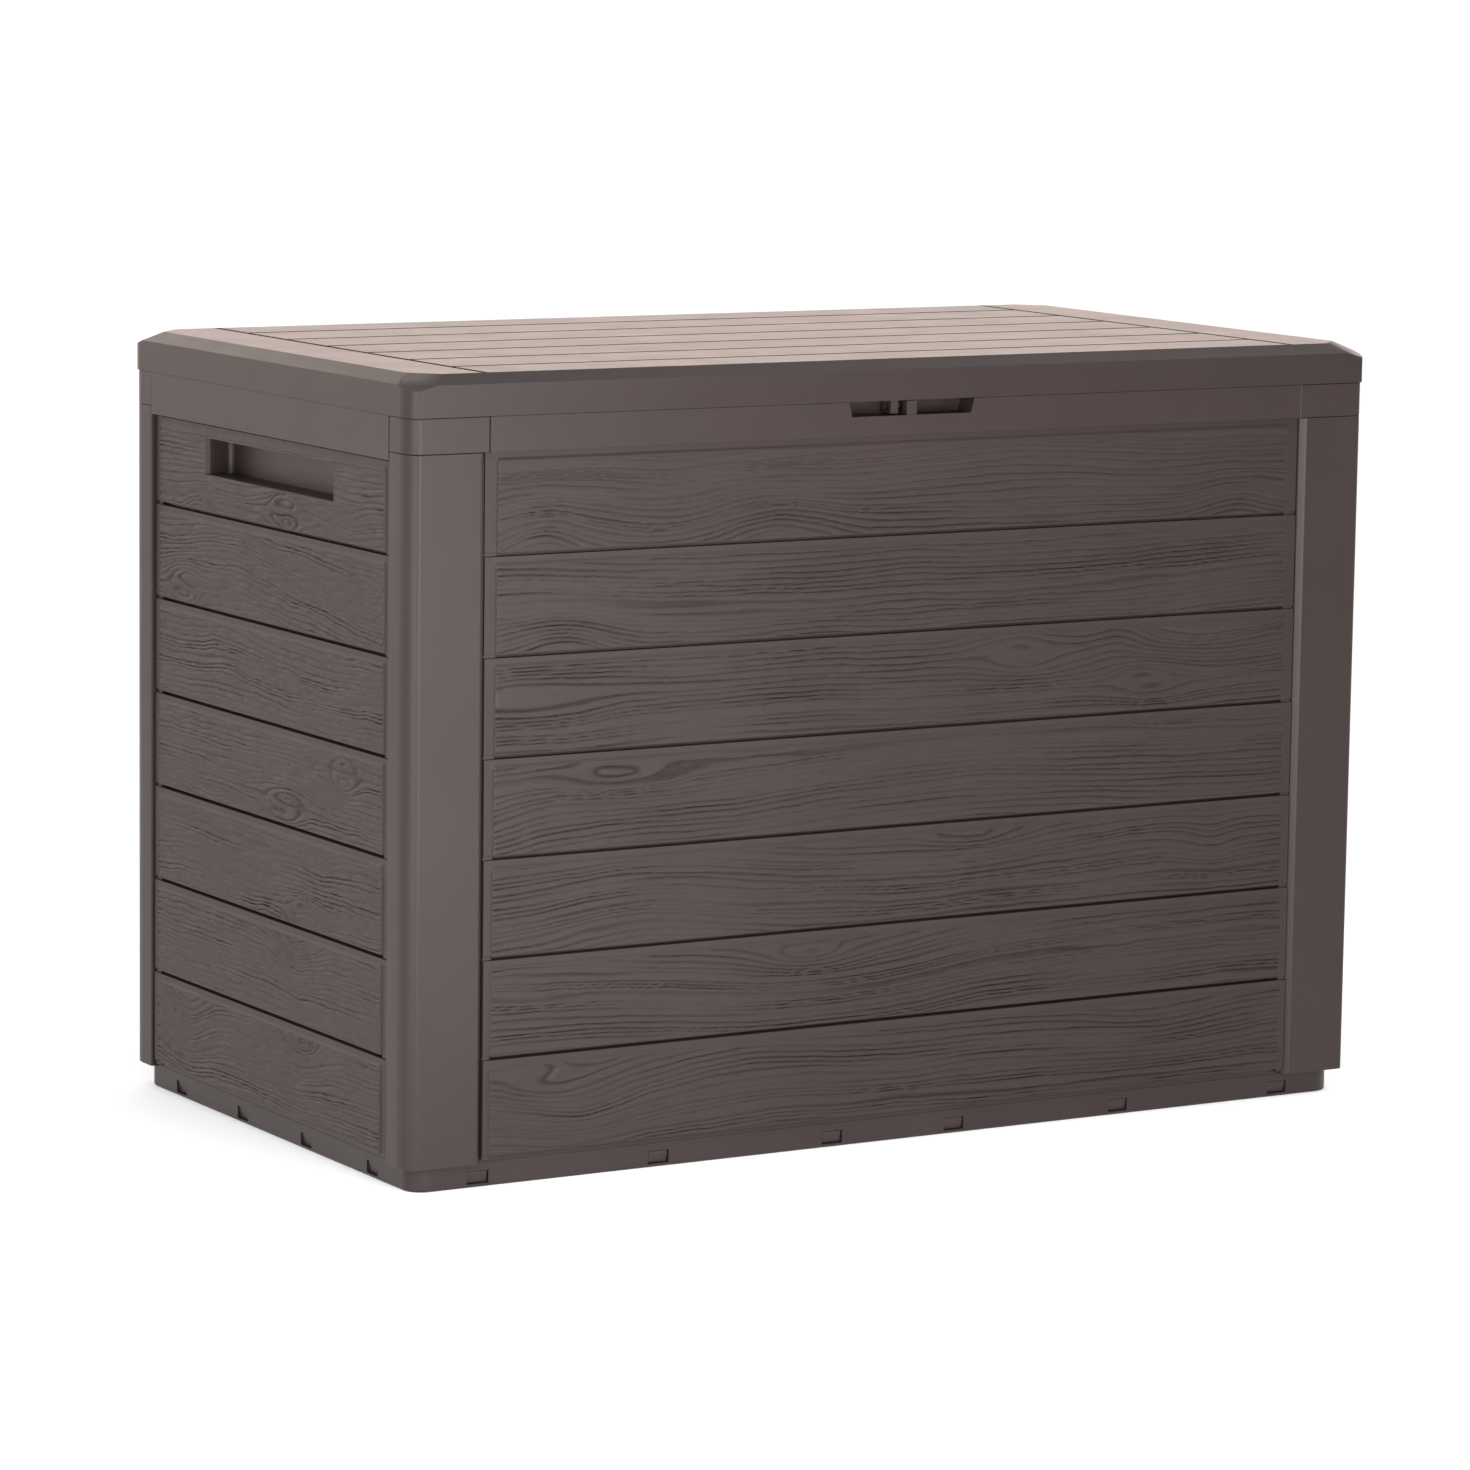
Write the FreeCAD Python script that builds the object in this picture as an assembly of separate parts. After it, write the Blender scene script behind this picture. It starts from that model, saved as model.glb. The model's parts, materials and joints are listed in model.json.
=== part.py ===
import FreeCAD, Part
import math
import os

# Deck storage box: a flat-pack resin chest with plank-look walls, four corner
# posts, a hinged lid and a padlock recess.  Sizes are in millimetres.
# X runs along the length, -Y is the front, +Z is up, and the origin is under
# the middle of the base.  Walls are built on the +Y side and then turned.

V = FreeCAD.Vector
UP = V(0, 0, 1)

# Overall size, set by the lid
LID_X = 390.0
LID_Y = 216.5
HEIGHT = 550.0
SKIN = 3.0

# The body stands this far inside the lid's edge
OVERHANG = 0.9
BODY_X = LID_X - OVERHANG
BODY_Y = LID_Y - OVERHANG

# Heights of the seams, from the floor up
BASE_TOP = 17.0
POST_BOTTOM = 17.3
POST_TOP = 497.7
RIM_BOTTOM = 498.0
RIM_TOP = 521.7
LID_BOTTOM = 522.0

# Corner rounding, seen from above: an arc that leaves the end face smoothly
# and meets the long face at a crease
CORNER_R = 22.0
CORNER_DROP = 16.0

# Corner posts and caps
POST_INNER_X = 332.0
POST_BEVEL = 4.0
POST_PLAY = 0.3
SPIGOT_LOW = 9.0
SPIGOT_PLAY = 0.4
CORNER_INNER_Y = 184.2
CAP_INNER_X = 329.9

# Walls
FRAME_INSET = 8.0
SLAB = 4.0
PLANK_PITCH = 68.0
PLANK_COUNT = 7
FIRST_JOINT = 429.0
JOINT_GAP = 2.4
PLANK_STEP = 1.0
PLANK_STEP_SIDE = 0.8
PLANK_STEP_HIGH = 1.8
PLANK_STRIP = 4.2
PLANK_EDGE_DEEP = 2.2
LONG_PLANK_HALF = 321.5
LONG_PLANK_GROWS = 0.8
LONG_PLANK_END = POST_INNER_X - 0.6
LONG_FACE_IN = (3.7, 0.4)
END_PLANK_TOP = 491.0
END_PLANK_HALF = 174.0
END_PLANK_END = CORNER_INNER_Y - 2.2
END_FACE_IN = (2.4, 0.6)
RIB = 2.4
RIB_REACH = 7.6
TONGUE_TOP = 507.0

# Base
SNAP_WIDE = 16.5
SNAP_LOW = 2.4
SNAP_HIGH = 11.4
FRONT_SNAPS = (-331.0, -190.5, -50.5, 50.5, 190.5, 331.0)
SIDE_SNAPS = (-150.0, -50.0, 50.0, 150.0)
CHANNEL_IN = 8.5
CHANNEL_HALF = 346.0
RIM_IN = 11.5
FLOOR_THICK = 3.0
PAD_R = 26.0

# Grip recess in each end wall
GRIP_HALF = 97.0
GRIP_LOW = 456.5
GRIP_HIGH = 482.0
GRIP_DEPTH = 20.0
GRIP_BEVEL = 2.5

# Padlock recess in the front rail
RAIL_DEEP = 26.0
RAIL_HALF = 329.6
RECESS_LOW = 511.5
RECESS_DEEP = 18.0
RECESS_HALF_TOP = 51.5
RECESS_HALF_LOW = 48.4
SHACKLE_R = 2.75
SHACKLE_Y = -206.0
SHACKLE_Z = 517.0
TONGUE_LEFT = -15.0
TONGUE_RIGHT = -9.0
TONGUE_FRONT = -211.6
TONGUE_BACK = -199.6
STEM_TOP = 526.5

# Hinge: the lid turns about a line near the top of the back rail
HINGE_Y = 211.5
HINGE_Z = 520.0
HINGE_X = 220.0
COVE_R = 7.0
KNUCKLE_R = 4.5
PIN_R = 2.0
PIN_RUNNING = 0.05
SCREW_R = 1.6
SCREW_HEAD_R = 3.2
BRACKET_SCREW_Y = 202.0
ARM_SCREW_YS = (164.0, 179.0)

# Lid
CHAMFER_IN = 12.0
CHAMFER_DROP = 6.5
SLAT_GROOVES = (-154.6, -92.8, -30.9, 30.9, 92.8, 154.6)
END_BOARD_X = 328.0
GROOVE_WIDE = 4.6
GROOVE_DEEP = 2.4


def box(x0, x1, y0, y1, z0, z1):
    return Part.makeBox(x1 - x0, y1 - y0, z1 - z0, V(x0, y0, z0))


def rod(radius, start, length, axis):
    return Part.makeCylinder(radius, length, start, axis)


def fuse(shapes):
    return shapes[0].multiFuse(shapes[1:]).removeSplitter()


def cut(shape, tools):
    return shape.cut(Part.makeCompound(tools))


def mirror_x(shape):
    return shape.mirror(V(0, 0, 0), V(1, 0, 0))


def mirror_y(shape):
    return shape.mirror(V(0, 0, 0), V(0, 1, 0))


def turned(shape, degrees):
    copy = shape.copy()
    copy.rotate(V(0, 0, 0), UP, degrees)
    return copy


def write(name, shape):
    shape.exportStep("parts/%s.step" % name)


def prism(points, reach):
    """Straight extrusion of a closed outline."""
    return Part.Face(Part.makePolygon(points + points[:1])).extrude(reach)


def corner_arc(half_x, half_y, radius, side_x, side_y):
    """Corner arc from the end face to the long face, with its two ends."""
    drop = CORNER_DROP - (CORNER_R - radius)
    centre_x = half_x - radius
    centre_y = half_y - drop
    last = math.asin(drop / radius)
    points = []
    for angle in (0.0, last / 2.0, last):
        x = centre_x + radius * math.cos(angle)
        y = centre_y + radius * math.sin(angle)
        points.append(V(side_x * x, side_y * y, 0))
    return points


def corner_block(inner_x, inner_y, z0, z1, inset=0.0):
    """Solid corner piece in the +X +Y quadrant, rounded on the outside."""
    low, mid, high = corner_arc(BODY_X - inset, BODY_Y - inset, CORNER_R - inset, 1, 1)
    edges = [
        Part.makeLine(V(inner_x, inner_y, 0), V(low.x, inner_y, 0)),
        Part.makeLine(V(low.x, inner_y, 0), low),
        Part.Arc(low, mid, high).toShape(),
        Part.makeLine(high, V(inner_x, high.y, 0)),
        Part.makeLine(V(inner_x, high.y, 0), V(inner_x, inner_y, 0)),
    ]
    block = Part.Face(Part.Wire(edges)).extrude(V(0, 0, z1 - z0))
    block.translate(V(0, 0, z0))
    return block


# ---------------------------------------------------------------- base

def post_spigot(play=0.0):
    """Tongue under the +X +Y post, or the socket for it in the base."""
    lip_y = BODY_Y - FRAME_INSET - SLAB - POST_PLAY
    return box(350.6 - play, 365.4 + play, lip_y - SKIN - play, lip_y + play,
               SPIGOT_LOW - play, BASE_TOP + 1)


def base_tray():
    """Base with a ribbed underside, a channel for the walls' legs and snap windows."""
    x_out = BODY_X - FRAME_INSET
    y_out = BODY_Y - FRAME_INSET
    body = box(-x_out, x_out, -y_out, y_out, 0, BASE_TOP)
    upright = [e for e in body.Edges if abs(e.BoundBox.ZLength - BASE_TOP) < 0.01]
    body = body.makeFillet(CORNER_R - FRAME_INSET, upright)
    rim = [e for e in body.Edges if e.BoundBox.ZMax < 0.01]
    body = body.makeFillet(2.0, rim)

    x_in = x_out - RIM_IN
    y_in = y_out - RIM_IN
    cuts = []
    columns = 8
    rows = 4
    for i in range(columns):
        for j in range(rows):
            x0 = -x_in + 2 * x_in * i / columns + 1.5
            x1 = -x_in + 2 * x_in * (i + 1) / columns - 1.5
            y0 = -y_in + 2 * y_in * j / rows + 1.5
            y1 = -y_in + 2 * y_in * (j + 1) / rows - 1.5
            cuts.append(box(x0, x1, y0, y1, -1, BASE_TOP - FLOOR_THICK))
    for side in (-1, 1):
        ys = sorted((side * (y_out - CHANNEL_IN), side * (y_out - SKIN)))
        cuts.append(box(-CHANNEL_HALF, CHANNEL_HALF, ys[0], ys[1], SNAP_LOW, BASE_TOP + 1))
        xs = sorted((side * (x_out - CHANNEL_IN), side * (x_out - SKIN)))
        cuts.append(box(xs[0], xs[1], -166, 166, SNAP_LOW, BASE_TOP + 1))
        for x in FRONT_SNAPS:
            ys = sorted((side * (y_out - SKIN - 1), side * (y_out + 1)))
            cuts.append(box(x - SNAP_WIDE / 2, x + SNAP_WIDE / 2, ys[0], ys[1], SNAP_LOW, SNAP_HIGH))
        for y in SIDE_SNAPS:
            xs = sorted((side * (x_out - SKIN - 1), side * (x_out + 1)))
            cuts.append(box(xs[0], xs[1], y - SNAP_WIDE / 2, y + SNAP_WIDE / 2, SNAP_LOW, SNAP_HIGH))
    socket = post_spigot(SPIGOT_PLAY)
    for shape in (socket, mirror_x(socket)):
        cuts += [shape, mirror_y(shape)]
    body = cut(body, cuts)
    return fuse([body, rod(PAD_R, V(0, 0, 0), BASE_TOP - 1, UP)])


# ---------------------------------------------------------------- corner pieces

def corner_post():
    """Corner post for the +X +Y corner, with a slot for each wall's edge."""
    slab_y = BODY_Y - FRAME_INSET
    slab_x = BODY_X - FRAME_INSET
    post = corner_block(POST_INNER_X, CORNER_INNER_Y, POST_BOTTOM, POST_TOP)
    lip_y = slab_y - SLAB - POST_PLAY
    lip_x = slab_x - SLAB - POST_PLAY
    low = POST_BOTTOM - 1
    high = POST_TOP + 1
    hollow = corner_block(355.0, lip_y, low, high, SKIN)
    hollow = hollow.fuse(corner_block(lip_x, slab_y - 7.6, low, high, SKIN))
    bevel = prism([V(POST_INNER_X, BODY_Y, low),
                   V(POST_INNER_X + POST_BEVEL, BODY_Y, low),
                   V(POST_INNER_X, BODY_Y - POST_BEVEL, low)], V(0, 0, high - low))
    cuts = [
        box(POST_INNER_X - 1, lip_x - SKIN, CORNER_INNER_Y - 1, lip_y - SKIN, low, high),
        box(POST_INNER_X - 1, 352.0, lip_y, slab_y + POST_PLAY, low, high),
        box(lip_x, slab_x + POST_PLAY, CORNER_INNER_Y - 1, 197.0, low, high),
        hollow,
        bevel,
    ]
    return fuse([cut(post, cuts), post_spigot()])


def corner_cap(at_back):
    """Cap that closes the post's top at the +X +Y corner."""
    slab_y = BODY_Y - FRAME_INSET
    cap = corner_block(CAP_INNER_X, CORNER_INNER_Y, RIM_BOTTOM, RIM_TOP)
    inside = corner_block(CAP_INNER_X + SKIN, CORNER_INNER_Y + SKIN, RIM_BOTTOM - 1, RIM_TOP - SKIN, SKIN)
    if at_back:
        cove = rod(COVE_R + SKIN, V(CAP_INNER_X, HINGE_Y, HINGE_Z), 70, V(1, 0, 0))
        inside = inside.cut(cove)
    notch = box(CAP_INNER_X - 1, CAP_INNER_X + SKIN + 1, slab_y - SLAB - 0.5, slab_y + 0.5,
                RIM_BOTTOM - 1, TONGUE_TOP + 1)
    cap = cut(cap, [inside, notch])
    peg = box(357.5, 377.0, slab_y - SLAB + 0.4, slab_y + 2.4, 484, RIM_TOP - 1)
    if at_back:
        peg = peg.common(box(350, 380, 190, 215, 480, RIM_TOP - 10))
    cap = fuse([cap, peg])
    if at_back:
        cove = rod(COVE_R, V(CAP_INNER_X - 1, HINGE_Y, HINGE_Z), 386.0 - CAP_INNER_X + 1, V(1, 0, 0))
        cap = cut(cap, [cove])
    return cap


# ---------------------------------------------------------------- walls

def plank(low, high, half, end, face_w, back_w):
    """One plank: a raised face with a lower flat border along its top and both ends."""
    def outline(x, w, z0, z1):
        return Part.makePolygon([V(-x, w, z0), V(x, w, z0), V(x, w, z1), V(-x, w, z1), V(-x, w, z0)])
    step_w = face_w - PLANK_STEP
    shoulder_w = face_w - PLANK_EDGE_DEEP
    strip_z = high - PLANK_STRIP
    backing = box(-end, end, back_w, shoulder_w, low - JOINT_GAP, high)
    border = Part.makeLoft([outline(end, shoulder_w, low - JOINT_GAP, high),
                            outline(end - 0.3, step_w, low - JOINT_GAP, high - 0.3)], True, True)
    raised = Part.makeLoft([outline(half + PLANK_STEP_SIDE, step_w, low, strip_z),
                            outline(half, face_w, low + 0.3, strip_z - PLANK_STEP_HIGH)], True, True)
    return [backing, border, raised]


def plank_rows(top, first_half, half_step, outside, face_in):
    """Low edge, high edge, half length and face position of each plank.

    The top and bottom planks' faces lie face_in behind the body's outside.
    """
    rows = []
    high = top
    for i in range(PLANK_COUNT):
        joint = FIRST_JOINT - PLANK_PITCH * i
        part_way = i / (PLANK_COUNT - 1.0)
        face = outside - face_in[0] + (face_in[0] - face_in[1]) * part_way
        rows.append((joint + JOINT_GAP / 2, high, first_half + half_step * i, face))
        high = joint - JOINT_GAP / 2
    return rows


def wall(rows, plank_end, frame_w, slab_half, slab_top, rib_top, bays, snaps):
    """Plank-faced wall on the +Y side: slab, planks with slots between, ribs and snap hooks."""
    slab_in = frame_w - SLAB
    rib_in = slab_in - RIB_REACH
    solids = [box(-slab_half, slab_half, slab_in, frame_w, BASE_TOP + 0.2, slab_top)]
    slots = []
    for low, high, half, face in rows:
        solids += plank(low, high, half, plank_end, face, frame_w - 1)
        slots.append(box(-half, half, frame_w, face + 1, low - JOINT_GAP, low))
    reach = rows[0][2]
    step = 2 * reach / bays
    stations = [-reach + step * i for i in range(bays + 1)]
    for x in stations:
        solids.append(box(x - RIB / 2, x + RIB / 2, rib_in, slab_in + 1, BASE_TOP + 0.2, rib_top))
    for low, high, half, face in rows:
        solids.append(box(-reach, reach, rib_in + 1.5, slab_in + 1, low - JOINT_GAP - 0.5, low + 0.5))
    hem = box(-reach - 5, reach + 5, rib_in, frame_w, BASE_TOP + 0.2, BASE_TOP + 4)
    solids.append(hem)
    for x in snaps:
        leg_out = frame_w - SKIN - 0.3
        solids.append(box(x - 7.5, x + 7.5, leg_out - 4.2, leg_out, SNAP_LOW + 0.4, BASE_TOP + 1.5))
        hook = prism([V(x - 7.5, leg_out - 0.5, SNAP_LOW + 0.5),
                      V(x - 7.5, leg_out + 1.0, SNAP_LOW + 0.5),
                      V(x - 7.5, leg_out + 2.3, SNAP_HIGH - 2.0),
                      V(x - 7.5, leg_out + 2.3, SNAP_HIGH - 0.5),
                      V(x - 7.5, leg_out - 0.5, SNAP_HIGH - 0.5)], V(15, 0, 0))
        solids.append(hook)
    body = cut(fuse(solids), slots)
    pockets = []
    for side in (-1, 1):
        # the outer legs stay clear of the posts' inner lips
        ends = sorted((side * (POST_INNER_X - 0.4), side * (POST_INNER_X + 20)))
        pockets.append(box(ends[0], ends[1], rib_in - 1, slab_in, BASE_TOP + 0.1, BASE_TOP + 3))
    for low, high, half, face in rows:
        for left, right in zip(stations[:-1], stations[1:]):
            pockets.append(box(left + RIB / 2, right - RIB / 2, slab_in - 1, face - SKIN,
                               low + SKIN, high - PLANK_STRIP - SKIN))
    return cut(body, pockets)


def long_wall():
    rows = plank_rows(POST_TOP, LONG_PLANK_HALF, LONG_PLANK_GROWS, BODY_Y, LONG_FACE_IN)
    return wall(rows, LONG_PLANK_END, BODY_Y - FRAME_INSET, 351.0, TONGUE_TOP, POST_TOP, 6, FRONT_SNAPS)


def end_wall():
    """End wall, with its moulded rim band and grip recess, on the +Y side."""
    frame_w = BODY_X - FRAME_INSET
    rows = plank_rows(END_PLANK_TOP, END_PLANK_HALF, 0.0, BODY_X, END_FACE_IN)
    body = wall(rows, END_PLANK_END, frame_w, 196.0, POST_TOP - 0.3, POST_TOP, 4, SIDE_SNAPS)
    band_half = CORNER_INNER_Y - 0.3
    band = box(-band_half, band_half, BODY_X - RAIL_DEEP, BODY_X, 492.0, RIM_TOP)
    band = cut(band, [box(-band_half + SKIN, band_half - SKIN, BODY_X - RAIL_DEEP + SKIN,
                          BODY_X - SKIN, 480, RIM_TOP - SKIN)])
    shell_in = rows[0][3] - GRIP_DEPTH - SKIN
    grip_shell = box(-GRIP_HALF - SKIN, GRIP_HALF + SKIN, shell_in, frame_w,
                     GRIP_LOW - SKIN, GRIP_HIGH + SKIN)
    body = fuse([body, band, grip_shell])
    face_w = rows[0][3]
    pocket = box(-GRIP_HALF, GRIP_HALF, face_w - GRIP_DEPTH, BODY_X + 1, GRIP_LOW, GRIP_HIGH)
    back = [e for e in pocket.Edges if e.BoundBox.YMax < face_w - GRIP_DEPTH + 1 and e.BoundBox.ZLength > 20]
    cuts = [pocket.makeFillet(4.5, back)]
    for side in (-1, 1):
        cuts.append(prism([V(side * GRIP_HALF, face_w - GRIP_BEVEL, GRIP_LOW),
                           V(side * (GRIP_HALF + GRIP_BEVEL), face_w, GRIP_LOW),
                           V(side * GRIP_HALF, face_w + 1, GRIP_LOW)], V(0, 0, GRIP_HIGH - GRIP_LOW)))
    return cut(body, cuts)


# ---------------------------------------------------------------- rails

def long_rail():
    """Hollow rail on the +Y side that closes a long wall's top edge."""
    y_out = BODY_Y
    y_in = BODY_Y - RAIL_DEEP
    rail = box(-RAIL_HALF, RAIL_HALF, y_in, y_out, RIM_BOTTOM, RIM_TOP)
    inside = box(-RAIL_HALF + SKIN, RAIL_HALF - SKIN, y_in + SKIN, y_out - SKIN, RIM_BOTTOM - 1, RIM_TOP - SKIN)
    slab_y = BODY_Y - FRAME_INSET
    notch = box(-RAIL_HALF - 1, RAIL_HALF + 1, slab_y - SLAB - 0.5, slab_y + 0.5, RIM_BOTTOM - 1, TONGUE_TOP + 1)
    return rail, inside, notch


def front_rail():
    """Front rail with the padlock recess and its lug."""
    rail, inside, notch = long_rail()
    rail = mirror_y(rail)
    inside = mirror_y(inside)
    notch = mirror_y(notch)
    back_y = -BODY_Y + RECESS_DEEP
    shell = box(-RECESS_HALF_TOP - SKIN, RECESS_HALF_TOP + SKIN, -BODY_Y, back_y + SKIN,
                RECESS_LOW - SKIN, RIM_TOP)
    rail = cut(rail, [inside.cut(shell), notch])
    front = -BODY_Y - 1
    recess = prism([V(-RECESS_HALF_LOW, front, RECESS_LOW),
                    V(RECESS_HALF_LOW, front, RECESS_LOW),
                    V(RECESS_HALF_TOP, front, RIM_TOP + 1),
                    V(-RECESS_HALF_TOP, front, RIM_TOP + 1)], V(0, RECESS_DEEP + 1, 0))
    rail = cut(rail, [recess])
    lug = box(-4, 4, -BODY_Y + 0.4, back_y + 0.5, RECESS_LOW - 0.5, RIM_TOP - 0.3)
    lug = cut(lug, [rod(SHACKLE_R, V(-10, SHACKLE_Y, SHACKLE_Z), 20, V(1, 0, 0))])
    return fuse([rail, lug])


def back_rail():
    """Back rail with the hinge cove and a pocket for each hinge bracket."""
    rail, inside, notch = long_rail()
    keep = [rod(COVE_R + SKIN, V(-400, HINGE_Y, HINGE_Z), 800, V(1, 0, 0))]
    cuts = [notch, rod(COVE_R, V(-400, HINGE_Y, HINGE_Z), 800, V(1, 0, 0))]
    for side in (-1, 1):
        x = side * HINGE_X
        keep.append(box(x - 29, x + 29, BODY_Y - RAIL_DEEP, BODY_Y, 499.5, RIM_TOP))
        cuts.append(box(x - 25.4, x + 25.4, 197.6, BODY_Y + 1, 507.6, RIM_TOP + 1))
        for step in (-16, 16):
            cuts.append(rod(SCREW_R + 0.05, V(x + step, BRACKET_SCREW_Y, 501.0), 10, UP))
    inside = cut(inside, keep)
    slot = box(-RAIL_HALF + SKIN, RAIL_HALF - SKIN, BODY_Y - FRAME_INSET - SLAB - 0.5,
               BODY_Y - FRAME_INSET + 0.5, RIM_BOTTOM - 1, TONGUE_TOP + 0.3)
    return cut(rail, [inside, slot] + cuts)


# ---------------------------------------------------------------- hinge hardware

def hinge_bracket():
    """Fixed hinge leaf: base plate with two knuckles, centred on x = 0."""
    solids = [box(-25, 25, 198.0, 214.8, 507.8, 511.5)]
    for side in (-1, 1):
        x0 = min(side * 9.0, side * 22.0)
        solids.append(box(x0, x0 + 13, 207.6, 215.2, 511, 518))
        solids.append(rod(KNUCKLE_R, V(x0, HINGE_Y, HINGE_Z), 13, V(1, 0, 0)))
    body = fuse(solids)
    cuts = [rod(PIN_R, V(-30, HINGE_Y, HINGE_Z), 60, V(1, 0, 0))]
    for step in (-16, 16):
        cuts.append(rod(SCREW_R + 0.3, V(step, BRACKET_SCREW_Y, 500), 20, UP))
    return cut(body, cuts)


def hinge_arm():
    """Moving hinge leaf: plate under the lid with one knuckle, on x = 0."""
    solids = [
        box(-12, 12, 156.0, 186.0, 522.4, 525.4),
        box(-8.6, 8.6, 185.0, HINGE_Y, 522.4, 525.4),
        rod(KNUCKLE_R, V(-8.6, HINGE_Y, HINGE_Z), 17.2, V(1, 0, 0)),
    ]
    body = fuse(solids)
    cuts = [rod(PIN_R + PIN_RUNNING, V(-30, HINGE_Y, HINGE_Z), 60, V(1, 0, 0))]
    for y in ARM_SCREW_YS:
        cuts.append(rod(SCREW_R + 0.3, V(0, y, 515), 20, UP))
    return cut(body, cuts)


def hinge_pin():
    shaft = rod(PIN_R, V(-22.0, HINGE_Y, HINGE_Z), 44.2, V(1, 0, 0))
    head = rod(PIN_R + 1.3, V(22.0, HINGE_Y, HINGE_Z), 1.6, V(1, 0, 0))
    return fuse([shaft, head])


def screw(x, y, seat_z, direction):
    """Pan-head screw whose head sits on seat_z and whose shank runs along direction."""
    axis = V(0, 0, direction)
    shank = rod(SCREW_R, V(x, y, seat_z), 9.0, axis)
    head = rod(SCREW_HEAD_R, V(x, y, seat_z - 1.9 * direction), 1.9, axis)
    body = fuse([shank, head])
    slot_z = sorted((seat_z - 2.4 * direction, seat_z - 1.1 * direction))
    slots = [
        box(x - 1.8, x + 1.8, y - 0.4, y + 0.4, slot_z[0], slot_z[1]),
        box(x - 0.4, x + 0.4, y - 1.8, y + 1.8, slot_z[0], slot_z[1]),
    ]
    return cut(body, slots)


# ---------------------------------------------------------------- lid

def lid_outline(inset):
    """Plan outline of the lid at z = 0, moved inwards by inset."""
    half_x = LID_X - inset
    half_y = LID_Y - inset
    radius = CORNER_R - inset
    arcs = []
    for sx, sy in ((1, 1), (-1, 1), (-1, -1), (1, -1)):
        points = corner_arc(half_x, half_y, radius, sx, sy)
        if sx * sy < 0:
            points.reverse()
        arcs.append(points)
    edges = []
    for i, points in enumerate(arcs):
        edges.append(Part.Arc(points[0], points[1], points[2]).toShape())
        edges.append(Part.makeLine(points[2], arcs[(i + 1) % 4][0]))
    return Part.Wire(edges)


def cut_beyond(shape, point, normal):
    """Remove everything on the far side of a plane."""
    block = Part.makeBox(1200, 1200, 300, V(-600, -600, 0))
    block.Placement = FreeCAD.Placement(point, FreeCAD.Rotation(UP, normal))
    return shape.cut(block)


def lid_block(inset, bottom):
    """Chamfered lid block, moved inwards by inset, down to the bottom given."""
    block = Part.Face(lid_outline(inset)).extrude(V(0, 0, HEIGHT - inset - bottom))
    block.translate(V(0, 0, bottom))
    run = math.hypot(CHAMFER_IN, CHAMFER_DROP)
    rise = CHAMFER_IN / run
    lean = CHAMFER_DROP / run
    for sign in (-1, 1):
        normal = V(sign * lean, 0, rise)
        block = cut_beyond(block, V(sign * LID_X, 0, HEIGHT - CHAMFER_DROP) - normal * inset, normal)
        normal = V(0, sign * lean, rise)
        block = cut_beyond(block, V(0, sign * LID_Y, HEIGHT - CHAMFER_DROP) - normal * inset, normal)
    for sx in (-1, 1):
        for sy in (-1, 1):
            a = V(sx * 360.0, sy * 204.5, HEIGHT)
            b = V(sx * 378.0, sy * 186.5, HEIGHT)
            c = V(sx * 386.5, sy * 212.8, HEIGHT - 10.0)
            normal = (b - a).cross(c - a).normalize()
            if normal.z < 0:
                normal = normal * -1.0
            block = cut_beyond(block, a - normal * inset, normal)
    return block


def tongue_stem(play=0.0):
    """Stem above the padlock tongue, or the socket for it in the lid."""
    return box(TONGUE_LEFT + 1 - play, TONGUE_RIGHT - 1 + play, TONGUE_FRONT + 2 - play,
               TONGUE_BACK - 2 + play, LID_BOTTOM - 1, STEM_TOP + play)


def padlock_tongue():
    """Tongue that hangs from the lid beside the lug, with its shackle hole."""
    blade = box(TONGUE_LEFT, TONGUE_RIGHT, TONGUE_FRONT, TONGUE_BACK, RECESS_LOW + 1.0, LID_BOTTOM - 0.1)
    hole = rod(SHACKLE_R, V(TONGUE_LEFT - 1, SHACKLE_Y, SHACKLE_Z), 8, V(1, 0, 0))
    return cut(fuse([blade, tongue_stem()]), [hole])


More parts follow.
